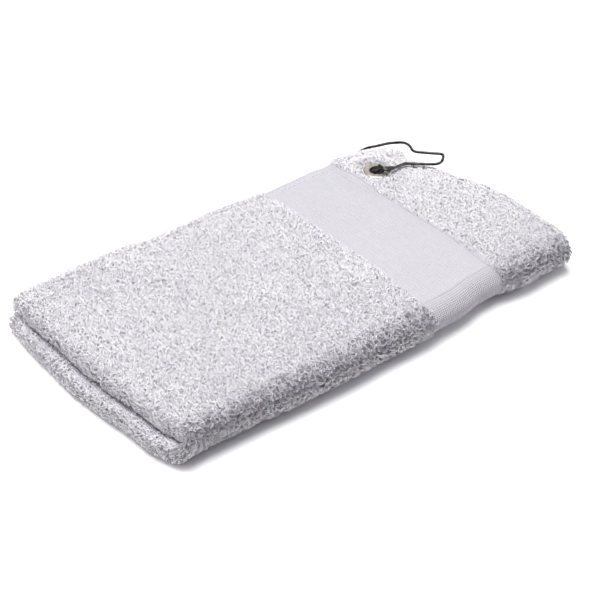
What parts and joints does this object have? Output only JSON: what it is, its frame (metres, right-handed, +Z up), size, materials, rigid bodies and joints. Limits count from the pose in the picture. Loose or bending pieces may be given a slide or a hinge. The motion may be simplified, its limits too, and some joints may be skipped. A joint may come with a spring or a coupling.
{
  "type": "golf towel",
  "caption": "White terry golf towel folded in four, with a flat woven border, a corner eyelet and a sprung wire clip for a golf bag.",
  "frame": {"origin": "centre of the folded towel's underside, on the surface it lies on", "axes": "+X from the crosswise fold's end rolls to the hemmed ends, +Y from the long fold to the side hems, +Z up through the four layers"},
  "size_m": [0.258, 0.1375, 0.023],
  "materials": {
    "terry_cloth": "looped cotton pile, white",
    "border_weave": "flat dobby weave, white",
    "hem_weave": "flat woven folded hem, white",
    "sewing_thread": "polyester sewing thread, white",
    "eyelet_metal": "bright nickel plate",
    "clip_wire": "dark polished spring steel"
  },
  "bodies": {
    "lower_leaf": {"bottom_terry": "terry_cloth", "bottom_border": "border_weave", "bottom_end_strip": "terry_cloth", "bottom_end_hem": "hem_weave", "bottom_side_hem": "hem_weave", "third_terry": "terry_cloth", "third_border": "border_weave", "third_end_strip": "terry_cloth", "third_end_hem": "hem_weave", "third_side_hem": "hem_weave", "outer_fold_terry": "terry_cloth", "outer_fold_border": "border_weave", "outer_fold_end_strip": "terry_cloth", "outer_fold_end_hem": "hem_weave", "inner_fold_terry": "terry_cloth", "inner_fold_border": "border_weave", "inner_fold_end_strip": "terry_cloth", "inner_fold_end_hem": "hem_weave", "fold_corner_roll": "terry_cloth", "lower_end_roll": "terry_cloth", "lower_stitching": "sewing_thread"},
    "upper_leaf": {"second_terry": "terry_cloth", "second_border": "border_weave", "second_end_strip": "terry_cloth", "second_end_hem": "hem_weave", "second_side_hem": "hem_weave", "top_terry": "terry_cloth", "top_border": "border_weave", "top_end_strip": "terry_cloth", "top_end_hem": "hem_weave", "top_side_hem": "hem_weave", "upper_end_roll": "terry_cloth", "upper_stitching": "sewing_thread", "eyelet": "eyelet_metal", "eyelet_washer": "eyelet_metal"},
    "clip": {"clip_frame": "clip_wire"},
    "clip_gate": {"clip_gate": "clip_wire"}
  },
  "joints": [
    {"name": "upper_leaf_open", "type": "hinge", "parent": "lower_leaf", "child": "upper_leaf", "pos_m": [0, -0.05595, 0.01055], "axis": [1, 0, 0], "range_deg": [0, 175], "deforming": ["outer_fold_terry", "outer_fold_border", "outer_fold_end_strip", "outer_fold_end_hem", "inner_fold_terry", "inner_fold_border", "inner_fold_end_strip", "inner_fold_end_hem", "fold_corner_roll"]},
    {"name": "clip_swing", "type": "hinge", "parent": "upper_leaf", "child": "clip", "pos_m": [0.0854, 0.0435, 0.01905], "axis": [0, 0, 1], "range_deg": [-20, 20]},
    {"name": "gate_press", "type": "hinge", "parent": "clip", "child": "clip_gate", "pos_m": [0.1104, 0.02723, 0.0222], "axis": [0, 0, -1], "range_deg": [0, 14], "stiffness_Nm_per_rad": 0.25}
  ]
}
